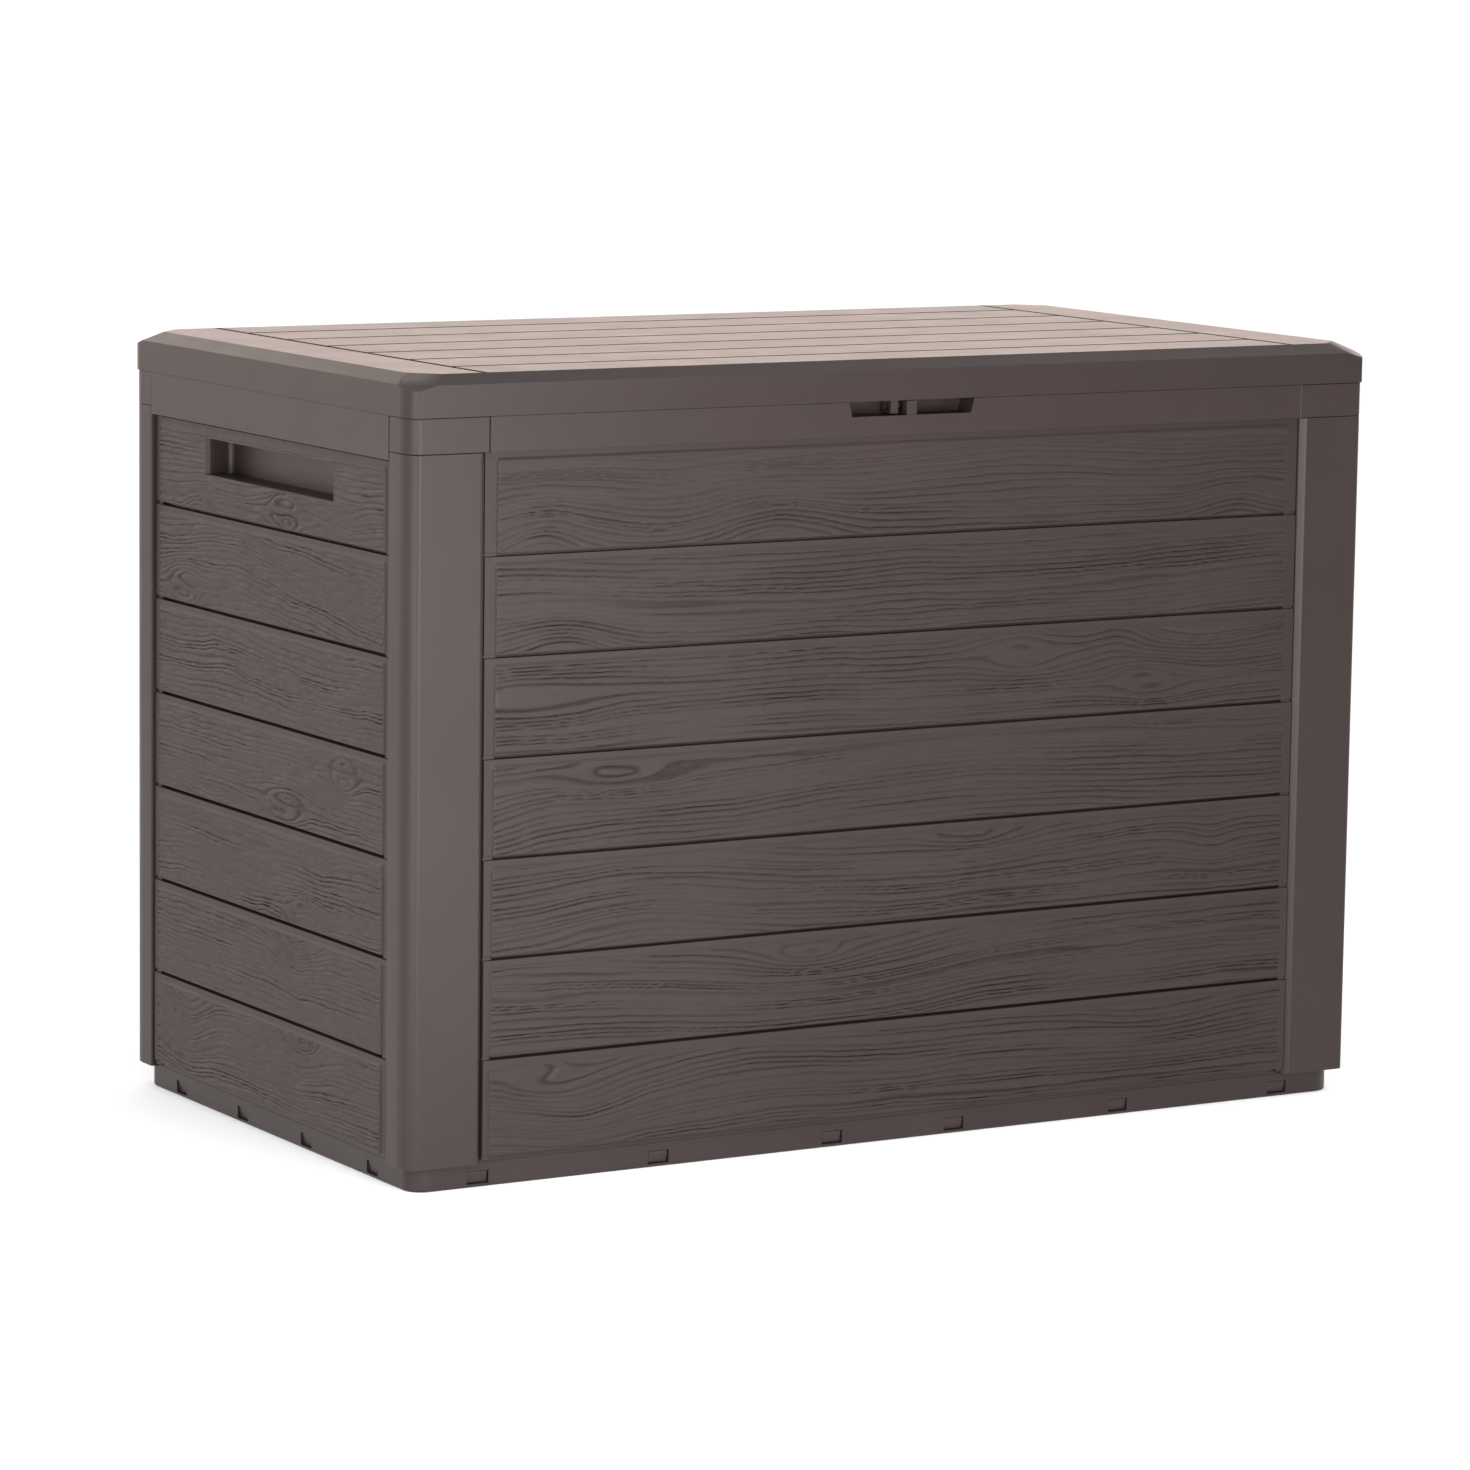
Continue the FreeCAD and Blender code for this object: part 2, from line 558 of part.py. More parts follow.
def lid_shell():
    """One-piece lid: plank-look top, ribs, locating lips and hinge bosses."""
    lid = lid_block(0.0, LID_BOTTOM)
    grooves = [box(-END_BOARD_X, END_BOARD_X, y - GROOVE_WIDE / 2, y + GROOVE_WIDE / 2,
                   HEIGHT - GROOVE_DEEP, HEIGHT + 1) for y in SLAT_GROOVES]
    edge_y = LID_Y - CHAMFER_IN
    for side in (-1, 1):
        x = side * END_BOARD_X
        grooves.append(box(x - GROOVE_WIDE / 2, x + GROOVE_WIDE / 2, -edge_y, edge_y,
                           HEIGHT - GROOVE_DEEP, HEIGHT + 1))
    cavity = lid_block(SKIN, LID_BOTTOM - 1)
    bead = GROOVE_WIDE / 2 + 2
    bead_low = HEIGHT - GROOVE_DEEP - SKIN
    slat_beads = [box(-END_BOARD_X - bead, END_BOARD_X + bead, y - bead, y + bead, bead_low, HEIGHT - SKIN)
                  for y in SLAT_GROOVES]
    for side in (-1, 1):
        x = side * END_BOARD_X
        slat_beads.append(box(x - bead, x + bead, -edge_y, edge_y, bead_low, HEIGHT - SKIN))
    lid = cut(lid, grooves + [cut(cavity, slat_beads)])

    ribs = []
    for x in (-300, -220, -110, 0, 110, 220, 300):
        ribs.append(box(x - 1.2, x + 1.2, -LID_Y, LID_Y, 534, HEIGHT - 2))
    for y in (-170, -62, 62, 170):
        ribs.append(box(-LID_X, LID_X, y - 1.2, y + 1.2, 534, HEIGHT - 2))
    for side in (-1, 1):
        x = side * HINGE_X
        ribs.append(box(x - 13, x + 13, 156, 186, 525.4, HEIGHT - 2))
    room = lid_block(SKIN - 0.5, LID_BOTTOM)
    trimmed = [rib.common(room) for rib in ribs]

    lip_y = BODY_Y - RAIL_DEEP - 1.2
    lip_x = BODY_X - RAIL_DEEP - 1.2
    front_half = CAP_INNER_X - 4
    lips = [box(-front_half, front_half, -lip_y, -lip_y + RIB, 520, HEIGHT - 2)]
    for side in (-1, 1):
        x = side * (lip_x - RIB / 2)
        lips.append(box(x - RIB / 2, x + RIB / 2, -CORNER_INNER_Y + 4, 150, 512, HEIGHT - 2))
    roof_half = RECESS_HALF_TOP + SKIN
    roof = box(-roof_half, roof_half, -LID_Y + 1, TONGUE_BACK + SKIN, LID_BOTTOM, STEM_TOP + 1.0)
    lid = fuse([lid] + trimmed + lips + [roof])

    cuts = [tongue_stem(0.1)]
    for side in (-1, 1):
        x = side * HINGE_X
        cuts.append(box(x - 26, x + 26, 205, LID_Y + 1, LID_BOTTOM - 1, 525.6))
        for y in ARM_SCREW_YS:
            cuts.append(rod(SCREW_R + 0.05, V(x, y, 515), 17.4, UP))
    return cut(lid, cuts)


# ---------------------------------------------------------------- the set

def main():
    os.makedirs("parts", exist_ok=True)
    write("base_tray", base_tray())

    panel = long_wall()
    write("back_wall", panel)
    write("front_wall", turned(panel, 180))
    panel = end_wall()
    write("left_wall", turned(panel, 90))
    write("right_wall", turned(panel, -90))

    post = corner_post()
    write("back_right_post", post)
    write("back_left_post", mirror_x(post))
    write("front_right_post", mirror_y(post))
    write("front_left_post", mirror_y(mirror_x(post)))

    cap = corner_cap(True)
    write("back_right_cap", cap)
    write("back_left_cap", mirror_x(cap))
    cap = mirror_y(corner_cap(False))
    write("front_right_cap", cap)
    write("front_left_cap", mirror_x(cap))

    write("front_rail", front_rail())
    write("back_rail", back_rail())
    write("lid_shell", lid_shell())
    write("padlock_tongue", padlock_tongue())

    bracket_screws = []
    arm_screws = []
    for side, name in ((-1, "left"), (1, "right")):
        shift = V(side * HINGE_X, 0, 0)
        for piece, label in ((hinge_bracket(), "bracket"), (hinge_arm(), "arm"), (hinge_pin(), "pin")):
            piece.translate(shift)
            write("%s_hinge_%s" % (name, label), piece)
        for step in (-16, 16):
            bracket_screws.append(screw(shift.x + step, BRACKET_SCREW_Y, 511.5, -1))
        for y in ARM_SCREW_YS:
            arm_screws.append(screw(shift.x, y, 522.4, 1))
    write("hinge_bracket_screws", Part.makeCompound(bracket_screws))
    write("hinge_arm_screws", Part.makeCompound(arm_screws))


main()
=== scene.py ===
import json
import math
from collections import namedtuple

import bmesh
import bpy
import numpy as np
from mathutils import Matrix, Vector


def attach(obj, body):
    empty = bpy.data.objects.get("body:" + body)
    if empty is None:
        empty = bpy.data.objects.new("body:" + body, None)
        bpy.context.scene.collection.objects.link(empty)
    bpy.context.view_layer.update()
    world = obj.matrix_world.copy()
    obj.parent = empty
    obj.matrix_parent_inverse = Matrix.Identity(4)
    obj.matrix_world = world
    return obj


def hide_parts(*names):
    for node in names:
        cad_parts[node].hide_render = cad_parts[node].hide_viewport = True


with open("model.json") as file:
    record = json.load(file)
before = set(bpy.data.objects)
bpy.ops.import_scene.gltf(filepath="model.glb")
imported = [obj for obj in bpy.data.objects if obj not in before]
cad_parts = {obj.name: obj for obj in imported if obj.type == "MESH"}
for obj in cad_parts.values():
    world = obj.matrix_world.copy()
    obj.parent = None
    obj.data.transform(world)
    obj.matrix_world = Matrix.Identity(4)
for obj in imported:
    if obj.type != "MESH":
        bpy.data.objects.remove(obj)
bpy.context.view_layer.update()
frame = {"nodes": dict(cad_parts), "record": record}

# Looks of the deck storage box.  Everything is in metres in the CAD frame:
# X along the length, -Y the front, +Z up, origin under the middle of the base.

MM = 0.001

# Camera: direction from the box and roll in degrees, offsets across the view
# and distance in metres, lens and sensor in mm
CAMERA_AZIMUTH = -30.8
CAMERA_ELEVATION = 8.27
CAMERA_ROLL = 0.79
CAMERA_SIDE = -0.0051
CAMERA_RISE = 0.2574
CAMERA_DISTANCE = 4.3172
CAMERA_LENS = 144.3
CAMERA_REACH = 60.0
SENSOR = 36.0

# Studio: a white surround that is bright behind the box, fades out towards the
# camera and has a dimmer ceiling, over a floor with a faint glow
SURROUND_BEHIND = 2.5
SURROUND_CEILING = 0.78
FADE_TO_CAMERA = (-0.25, 0.35)
FADE_TO_CEILING = (0.3, 0.6)
BEHIND_COLOUR = (1.0, 0.82, 0.74, 1)
CEILING_COLOUR = (1.0, 0.98, 0.97, 1)
FLOOR_SIZE = 30.0
FLOOR_COLOUR = (0.93, 0.93, 0.93, 1)
FLOOR_ROUGHNESS = 0.9
FLOOR_GLOW_COLOUR = (0.84, 0.95, 1, 1)
FLOOR_GLOW = 0.27

# Soft lights that face the middle of the box: name, azimuth and elevation in
# degrees, distance, width and height in metres, and power in watts
AIM_HEIGHT = 0.27
LIGHT_COLOUR = (1.0, 0.96, 1.0)
LIGHTS = [
    ("key", -10, 6, 1.35, 0.8, 0.8, 14.5),
    ("fill", -35, 8, 1.35, 0.8, 0.8, 2.5),
    ("high", 31, 50, 1.6, 0.8, 0.8, 4.5),
    ("left_strip", -71, 5, 1.38, 0.26, 0.8, 4.6),
    ("corner_strip", -46, 5, 1.61, 0.26, 0.8, 5.4),
]

# Materials: linear colours, how the resin varies, and the painted shade in the grain grooves
BROWN = (0.0255, 0.0176, 0.0158)
HINGE_BROWN = (0.03, 0.026, 0.024)
PIN_GREY = (0.55, 0.55, 0.56)
SCREW_GREY = (0.50, 0.50, 0.51)
RESIN_TONES = (0.93, 1.07)
RESIN_ROUGHER = (-0.05, 0.06)
RESIN_SPECULAR = 0.31
RESIN_BUMP = 0.3 * MM
WORN_LIGHTER = 1.5
WORN_SHARE = 0.35
WORN_FROM = (0.515, 0.60)
# Painted shade: the colour multiplied into the grain grooves of the plank skins
PAINTED_GROOVE_SHADE = (0.22, 0.20, 0.19, 1)
STEEL_DARK = 0.85
STEEL_ROUGHNESS = (0.28, 0.45)
STEEL_TEXTURE = 0.15
STEEL_BUMP = 0.05 * MM

# Moulded edges: the bevel on CAD pieces.  Upright edges take its full width
# and the others a share of it, where two faces meet at more than SOFT_ANGLE.
BEVEL_SEGMENTS = 2
SOFT_ANGLE = 28
UPRIGHT = 0.9
SEAM_SHARE = 0.45
FLAT_WEIGHT = 80
WELD = 0.01 * MM
FLAT_ANGLE = 1.0
CORNERS = ("front_left", "front_right", "back_left", "back_right")
SOFT_EDGES = [("base_tray", 0.4 * MM)]
SOFT_EDGES += [(corner + "_post", 1.0 * MM) for corner in CORNERS]
SOFT_EDGES += [(corner + "_cap", 1.0 * MM) for corner in CORNERS]
SOFT_EDGES += [("front_rail", 0.7 * MM), ("back_rail", 0.7 * MM), ("lid_shell", 1.0 * MM)]

# Walls: the planks repeat these sizes of the CAD walls.  A plank is a raised
# face with a lower border along its top and both ends, and the planks of a
# wall stand further out from the top one to the bottom one.
PLANK_COUNT = 7
PLANK_PITCH = 68 * MM
FIRST_JOINT = 429 * MM
JOINT_GAP = 2.4 * MM
STEP = 1.0 * MM
STEP_SIDE = 0.8 * MM
STEP_HIGH = 1.8 * MM
STRIP = 4.2 * MM
EDGE_DEEP = 2.2 * MM
LONG_PLANK_TOP = 497.7 * MM
LONG_PLANK_HALF = 321.5 * MM
LONG_PLANK_GROWS = 0.8 * MM
LONG_PLANK_END = 331.4 * MM
LONG_FACE_IN = (3.7 * MM, 0.4 * MM)
END_PLANK_TOP = 491.0 * MM
END_PLANK_HALF = 174.0 * MM
END_PLANK_END = 182.0 * MM
END_FACE_IN = (2.4 * MM, 0.6 * MM)
BODY_X = 389.1 * MM
BODY_Y = 215.6 * MM
FRAME_INSET = 8 * MM
BAND_LOW = 491.6 * MM
GRIP_HALF = 97 * MM
GRIP_LOW = 456.5 * MM
GRIP_HIGH = 482 * MM
GRIP_BEVEL = 2.5 * MM

# Skins: grained sheets over the planks, with the CAD planks sunk behind them
GRID_ALONG = 2.2 * MM
GRID_UP = 0.62 * MM
SKIN_PROUD = 0.12 * MM
SKIN_ROOT = 0.1 * MM
SUNK = 1.0 * MM
SUNK_FROM = 1.2 * MM
EDGE_ROUND = 0.5 * MM
EDGE_ROLL = 0.3 * MM
ROUND_OUTSIDE = 0.35 * MM
ROUND_INSIDE = 0.8 * MM
FOOT_HIGH = 0.9 * MM
FOOT_DEEP = 0.35 * MM
FOOT_LINES = (1 / 6, 1 / 2, 1)
GRIP_MARGIN = 0.3 * MM
GRIP_REACH = 0.01 * MM
PLAIN_AT_ENDS = 0.6 * MM
PLAIN_AT_TOP = 1.0 * MM
PLAIN_AT_FOOT = 1.2 * MM
PLAIN_AT_GRIP = 1.0 * MM
SKIN_SMOOTH_ANGLE = 38
CORE_SMOOTH_ANGLE = 30

# Grain lines: the distance between them, the shape of a groove and of the
# raised shoulder beside it as shares of that distance, and how they fade
GRAIN_PITCH = 4.1 * MM
GROOVE_AT = 0.5
GROOVE_WIDE = 0.14
SHOULDER_AT = 0.78
SHOULDER_WIDE = 0.16
SHOULDER_HIGH = 0.35
FADE_MIDDLE = 0.62
FADE_LIMITS = (0.12, 1.15)
KNOT_DEEPER = 0.35
EYE_PULL = 1.65
NICK_FROM = 0.55

# Random waves in the grain: strength, and size along and up the plank
NOISE_CELLS = 64
WANDER = (1.6 * MM, 70 * MM, 26 * MM)
WOBBLE = (0.5 * MM, 17 * MM, 9 * MM)
CRACKLE = (0.35 * MM, 5 * MM, 4 * MM)
SPACING = (0.55, 7 * MM, 1.0)
DRIFT = (0.25, 60 * MM, 5 * MM)
FADING = (0.55, 85 * MM, 8 * MM)
FIBRE = (0.14, 11 * MM, 1.5 * MM)
NICK = (1.0, 6 * MM, 2.2 * MM)
NICK_DEEP = 0.5

# Grain of a wall: its depth, how wild it is, and the first seed of each wall
LONG_GRAIN_DEPTH = 0.72 * MM
END_GRAIN_DEPTH = 0.80 * MM
LONG_GRAIN_WILD = 1.0
END_GRAIN_WILD = 2.0
FRONT_SEED = 100
BACK_SEED = 300
LEFT_SEED = 500
RIGHT_SEED = 700
SEEDS_PER_PLANK = 10

# Figures in the grain of each plank, seen from outside with the left end
# first.  Each entry is a kind, its place along the plank in mm, its height as
# a share of the plank, its reach along and up in mm, and its strength in mm.
LONG_GRAIN = [
    [("arch", -286, 0.05, 34, 34, 15), ("arch", -104, 0.0, 46, 36, 16), ("arch", 92, 0.9, 95, 40, 8),
     ("arch", 278, 0.1, 34, 26, 10), ("arch", -190, 0.5, 40, 40, -5)],
    [("arch", -268, -0.1, 36, 30, 15), ("arch", -330, 0.7, 90, 60, 9), ("arch", 330, 0.5, 90, 60, 7)],
    [("eye", -300, 0.55, 70, 15, 9), ("eye", 95, 0.72, 40, 14, 12), ("eye", 205, 0.32, 32, 12, 12),
     ("arch", 262, 0.8, 60, 30, -10), ("arch", 180, 0.9, 26, 20, 8)],
    [("eye", -225, 0.85, 48, 14, 12), ("arch", 45, 0.4, 150, 60, 11), ("arch", -330, 0.2, 40, 40, -9)],
    [("arch", -206, 0.35, 70, 46, 12), ("arch", 15, 0.8, 120, 46, -9), ("arch", 262, 0.55, 20, 20, -5),
     ("eye", 60, 0.95, 40, 12, 9)],
    [("arch", -75, 0.7, 135, 60, -20), ("eye", -75, 0.85, 36, 12, 11)],
    [("arch", -258, 0.4, 46, 40, -12), ("arch", -110, 0.6, 70, 50, 7), ("arch", 215, 0.8, 60, 40, -9),
     ("eye", -290, 0.8, 30, 12, 8)],
]
END_GRAIN = [
    [("eye", 27, 0.18, 34, 14, 17), ("arch", -110, 0.1, 24, 20, 8), ("arch", 120, 0.2, 26, 18, -7)],
    [("eye", -132, 0.18, 26, 13, 15), ("arch", -60, 0.55, 70, 46, 12), ("arch", 190, 0.3, 90, 60, -16)],
    [("arch", -66, 0.7, 44, 34, 6), ("arch", 90, 0.6, 80, 40, -5)],
    [("eye", 118, 0.72, 22, 12, 17), ("eye", 30, 0.2, 34, 11, 13), ("arch", -150, 0.1, 34, 22, 7)],
    [("eye", 62, 0.15, 30, 10, 12), ("arch", 86, 0.85, 28, 18, -6), ("arch", -120, 0.4, 40, 30, 5)],
    [("arch", 50, 0.95, 32, 30, -17), ("eye", 50, 0.98, 22, 10, 10)],
    [("arch", -122, 0.7, 34, 44, -17), ("arch", 52, 0.85, 36, 40, -15), ("eye", 62, 0.92, 16, 9, 11)],
]

# One plank: lower and upper edge, half length of its face and with its border,
# and how far out the wall behind it and its face stand
Plank = namedtuple("Plank", "low high half end back face")


# ------------------------------------------------------------------ materials

def node(tree, kind, **values):
    made = tree.nodes.new(kind)
    for name, value in values.items():
        setattr(made, name, value)
    return made


def noise(tree, coords, scale, detail, roughness, stretch=(1, 1, 1)):
    """Noise in object space, stretched along an axis where asked."""
    mapping = node(tree, "ShaderNodeMapping")
    mapping.inputs["Scale"].default_value = stretch
    tree.links.new(coords.outputs["Object"], mapping.inputs["Vector"])
    made = node(tree, "ShaderNodeTexNoise")
    made.inputs["Scale"].default_value = scale
    made.inputs["Detail"].default_value = detail
    made.inputs["Roughness"].default_value = roughness
    tree.links.new(mapping.outputs["Vector"], made.inputs["Vector"])
    return made.outputs["Fac"]


def ramp(tree, source, low, high, stops=(0.35, 0.65)):
    """Turns a value into a colour between two others."""
    made = node(tree, "ShaderNodeValToRGB")
    made.color_ramp.elements[0].position = stops[0]
    made.color_ramp.elements[1].position = stops[1]
    made.color_ramp.elements[0].color = low
    made.color_ramp.elements[1].color = high
    tree.links.new(source, made.inputs["Fac"])
    return made.outputs["Color"]


def spread(tree, source, low, high):
    """Maps a value from 0 to 1 onto a range of numbers."""
    made = node(tree, "ShaderNodeMapRange")
    made.inputs["To Min"].default_value = low
    made.inputs["To Max"].default_value = high
    tree.links.new(source, made.inputs["Value"])
    return made.outputs["Result"]


def roughen(tree, shader, height, strength, distance):
    """Bumps the surface by a height."""
    bump = node(tree, "ShaderNodeBump")
    bump.inputs["Strength"].default_value = strength
    bump.inputs["Distance"].default_value = distance
    tree.links.new(height, bump.inputs["Height"])
    tree.links.new(bump.outputs["Normal"], shader.inputs["Normal"])


def shade(colour, factor):
    return tuple(c * factor for c in colour) + (1,)


def new_material(name):
    material = bpy.data.materials.new(name)
    material.use_nodes = True
    tree = material.node_tree
    return material, tree, tree.nodes["Principled BSDF"], node(tree, "ShaderNodeTexCoord")


def worn_edges(tree, tone, base):
    """The tone, a little lighter on outward edges."""
    shape = node(tree, "ShaderNodeNewGeometry")
    edge = ramp(tree, shape.outputs["Pointiness"], (0, 0, 0, 1), (1, 1, 1, 1), WORN_FROM)
    share = node(tree, "ShaderNodeMath", operation="MULTIPLY")
    share.inputs[1].default_value = WORN_SHARE
    tree.links.new(edge, share.inputs[0])
    worn = node(tree, "ShaderNodeMix", data_type="RGBA", blend_type="MIX")
    worn.inputs["B"].default_value = shade(base, WORN_LIGHTER)
    tree.links.new(share.outputs["Value"], worn.inputs["Factor"])
    tree.links.new(tone, worn.inputs["A"])
    return worn.outputs["Result"]


def shade_painted_in_grooves(tree, colour):
    """The colour with painted shade: darker in the grooves that the planks' skins mark, most where they are
    deepest.
    """
    groove = node(tree, "ShaderNodeAttribute", attribute_name="groove")
    painted_shade = node(tree, "ShaderNodeMix", data_type="RGBA", blend_type="MULTIPLY")
    painted_shade.inputs["B"].default_value = PAINTED_GROOVE_SHADE
    tree.links.new(groove.outputs["Fac"], painted_shade.inputs["Factor"])
    tree.links.new(colour, painted_shade.inputs["A"])
    return painted_shade.outputs["Result"]


def resin(name, base, gloss, texture, fibres_and_groove_shade=0.0):
    """Moulded resin: slight colour drift, worn edges and a fine surface texture, and for grained pieces a
    fibre bump and painted shade darkening the grain grooves.
    """
    material, tree, shader, coords = new_material(name)
    cloud = noise(tree, coords, scale=9.0, detail=4.0, roughness=0.55)
    tone = ramp(tree, cloud, shade(base, RESIN_TONES[0]), shade(base, RESIN_TONES[1]))
    colour = worn_edges(tree, tone, base)
    # Painted shade: for grained pieces the grain grooves are darkened in the colour
    if fibres_and_groove_shade:
        colour = shade_painted_in_grooves(tree, colour)
    tree.links.new(colour, shader.inputs["Base Color"])

    smear = noise(tree, coords, scale=26.0, detail=5.0, roughness=0.6, stretch=(1, 1, 2.4))
    rough = spread(tree, smear, gloss + RESIN_ROUGHER[0], gloss + RESIN_ROUGHER[1])
    tree.links.new(rough, shader.inputs["Roughness"])

    height = noise(tree, coords, scale=900.0, detail=3.0, roughness=0.6)
    if fibres_and_groove_shade:
        fibre = noise(tree, coords, scale=210.0, detail=3.0, roughness=0.65, stretch=(0.12, 0.12, 5.0))
        blend = node(tree, "ShaderNodeMix", data_type="FLOAT")
        blend.inputs["Factor"].default_value = fibres_and_groove_shade
        tree.links.new(height, blend.inputs["A"])
        tree.links.new(fibre, blend.inputs["B"])
        height = blend.outputs["Result"]
    roughen(tree, shader, height, texture, RESIN_BUMP)
    shader.inputs["Specular IOR Level"].default_value = RESIN_SPECULAR
    return material


def steel(name, base):
    """Plated steel with a fine turned texture."""
    material, tree, shader, coords = new_material(name)
    shader.inputs["Metallic"].default_value = 1.0
    cloud = noise(tree, coords, scale=300.0, detail=3.0, roughness=0.5)
    tone = ramp(tree, cloud, shade(base, STEEL_DARK), shade(base, 1.0))
    tree.links.new(tone, shader.inputs["Base Color"])
    turned = noise(tree, coords, scale=1500.0, detail=2.0, roughness=0.5, stretch=(4, 1, 1))
    rough = spread(tree, turned, STEEL_ROUGHNESS[0], STEEL_ROUGHNESS[1])
    tree.links.new(rough, shader.inputs["Roughness"])
    roughen(tree, shader, turned, STEEL_TEXTURE, STEEL_BUMP)
    return material


MATERIALS = {
    "resin_brown": resin("resin_brown", BROWN, gloss=0.40, texture=0.08),
    # resin_grained also carries painted shade in its grain grooves
    "resin_grained": resin("resin_grained", BROWN, gloss=0.50, texture=0.22, fibres_and_groove_shade=0.6),
    "resin_lid": resin("resin_lid", BROWN, gloss=0.38, texture=0.08),
    "hinge_resin": resin("hinge_resin", HINGE_BROWN, gloss=0.42, texture=0.08),
    "pin_steel": steel("pin_steel", PIN_GREY),
    "screw_steel": steel("screw_steel", SCREW_GREY),
}


def use_material(obj, name):
    obj.data.materials.clear()
    obj.data.materials.append(MATERIALS[name])


# ------------------------------------------------------------------ softened CAD pieces

def body_with(name):
    for body, names in frame["record"]["behaviour"]["bodies"].items():
        if name in names:
            return body
    raise KeyError(name)


def cad_mesh(name):
    """Copy of a CAD node's mesh, in the frame's own axes."""
    source = frame["nodes"][name]
    mesh = source.data.copy()
    mesh.transform(source.matrix_world)
    return mesh


def new_piece(name, mesh):
    piece = bpy.data.objects.new(name, mesh)
    bpy.context.collection.objects.link(piece)
    return piece


def weigh_edges(mesh):
    """Welds the mesh, merges its flat faces and gives each sharp edge its bevel's share."""
    work = bmesh.new()
    work.from_mesh(mesh)
    bmesh.ops.remove_doubles(work, verts=work.verts, dist=WELD)
    flat = math.radians(FLAT_ANGLE)
    bmesh.ops.dissolve_limit(work, angle_limit=flat, verts=work.verts, edges=work.edges)
    weights = work.edges.layers.float.new("bevel_weight_edge")
    for edge in work.edges:
        if edge.calc_face_angle(0) > math.radians(SOFT_ANGLE):
            run = edge.verts[0].co - edge.verts[1].co
            upright = abs(run.z) > UPRIGHT * run.length
            edge[weights] = 1.0 if upright else SEAM_SHARE
    work.to_mesh(mesh)
    work.free()


def softened(name, slot, width):
    """A CAD node's shape with its sharp moulded edges rounded off."""
    mesh = cad_mesh(name)
    weigh_edges(mesh)
    piece = new_piece(name + "_moulded", mesh)
    bevel = piece.modifiers.new("edges", "BEVEL")
    bevel.width = width
    bevel.segments = BEVEL_SEGMENTS
    bevel.limit_method = "WEIGHT"
    for face in mesh.polygons:
        face.use_smooth = True
    flat = piece.modifiers.new("flat_faces", "WEIGHTED_NORMAL")
    flat.weight = FLAT_WEIGHT
    flat.keep_sharp = True
    apply_modifiers(piece)
    use_material(piece, slot)
    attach(piece, body_with(name))
    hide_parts(name)


def apply_modifiers(piece):
    graph = bpy.context.evaluated_depsgraph_get()
    mesh = bpy.data.meshes.new_from_object(piece.evaluated_get(graph))
    piece.modifiers.clear()
    piece.data = mesh


def smooth_by_angle(piece, degrees):
    for face in piece.data.polygons:
        face.use_smooth = True
    piece.data.set_sharp_from_angle(angle=math.radians(degrees))


# ------------------------------------------------------------------ wood grain

def smooth_noise(u, z, size_u, size_z, seed):
    """Smooth random field between -1 and 1, with features of the sizes given."""
    table = np.random.RandomState(seed).rand(NOISE_CELLS, NOISE_CELLS) * 2.0 - 1.0
    a = u / size_u + 17.0
    b = z / size_z + 11.0
    i = np.floor(a).astype(int)
    j = np.floor(b).astype(int)
    s = a - i
    t = b - j
    s = s * s * (3.0 - 2.0 * s)
    t = t * t * (3.0 - 2.0 * t)
    i0 = i % NOISE_CELLS
    i1 = (i + 1) % NOISE_CELLS
    j0 = j % NOISE_CELLS
    j1 = (j + 1) % NOISE_CELLS
    low = table[i0, j0] * (1 - s) + table[i1, j0] * s
    high = table[i0, j1] * (1 - s) + table[i1, j1] * s
    return low * (1 - t) + high * t


def wave(kind, u, z, seed):
    strength, size_u, size_z = kind
    return strength * smooth_noise(u, z, size_u, size_z, seed)


def ridge(share, middle, width):
    """Bell curve of height 1 across one grain line."""
    return np.exp(-((share - middle) / width) ** 2)


def grain_relief(u, z, plank, figures, depth, wild, seed):
    """Height of the moulded grain at (u, z) on a plank, in metres."""
    level = z + wave(WANDER, u, z, seed)
    level = level + wild * wave(WOBBLE, u, z, seed + 1)
    level = level + (wild - 1) * wave(CRACKLE, u, z, seed + 7)
    knots = np.zeros_like(z)
    for kind, at, up, along, across, strength in figures:
        bell = np.exp(-((u - at * MM) / (along * MM)) ** 2)
        rise = (z - plank.low - up * (plank.high - plank.low)) / (across * MM)
        if kind == "arch":
            level = level - strength * MM * bell * np.exp(-rise ** 2)
        else:
            level = level - EYE_PULL * strength * MM * bell * rise * np.exp(-rise ** 2)
            knots = np.maximum(knots, bell * np.exp(-rise ** 2))
    phase = level / GRAIN_PITCH
    phase = phase + wave(SPACING, level, 0 * level, seed + 2)
    phase = phase + wave(DRIFT, u, level, seed + 3)
    share = phase - np.floor(phase)
    groove = ridge(share, GROOVE_AT, GROOVE_WIDE)
    shoulder = ridge(share, SHOULDER_AT, SHOULDER_WIDE)
    fade = FADE_MIDDLE + wave(FADING, u, level, seed + 4)
    fade = np.clip(fade + KNOT_DEEPER * knots, FADE_LIMITS[0], FADE_LIMITS[1])
    fibre = wave(FIBRE, u, z, seed + 5)
    nick = np.clip(wave(NICK, u, z, seed + 6) - NICK_FROM, 0, 1)
    height = -depth * fade * (groove - SHOULDER_HIGH * shoulder)
    return height + depth * wild * (fibre - NICK_DEEP * nick)


# ------------------------------------------------------------------ planks

def soft_max(a, b, reach):
    """The higher of two values, with the crease between them rounded."""
    mix = np.clip(0.5 + 0.5 * (a - b) / reach, 0.0, 1.0)
    return b * (1 - mix) + a * mix + 0.25 * reach * mix * (1 - mix)


def fade_in(distance, reach):
    """Rises from 0 to 1 as the distance goes from 0 to reach."""
    return np.clip(distance / reach, 0, 1)


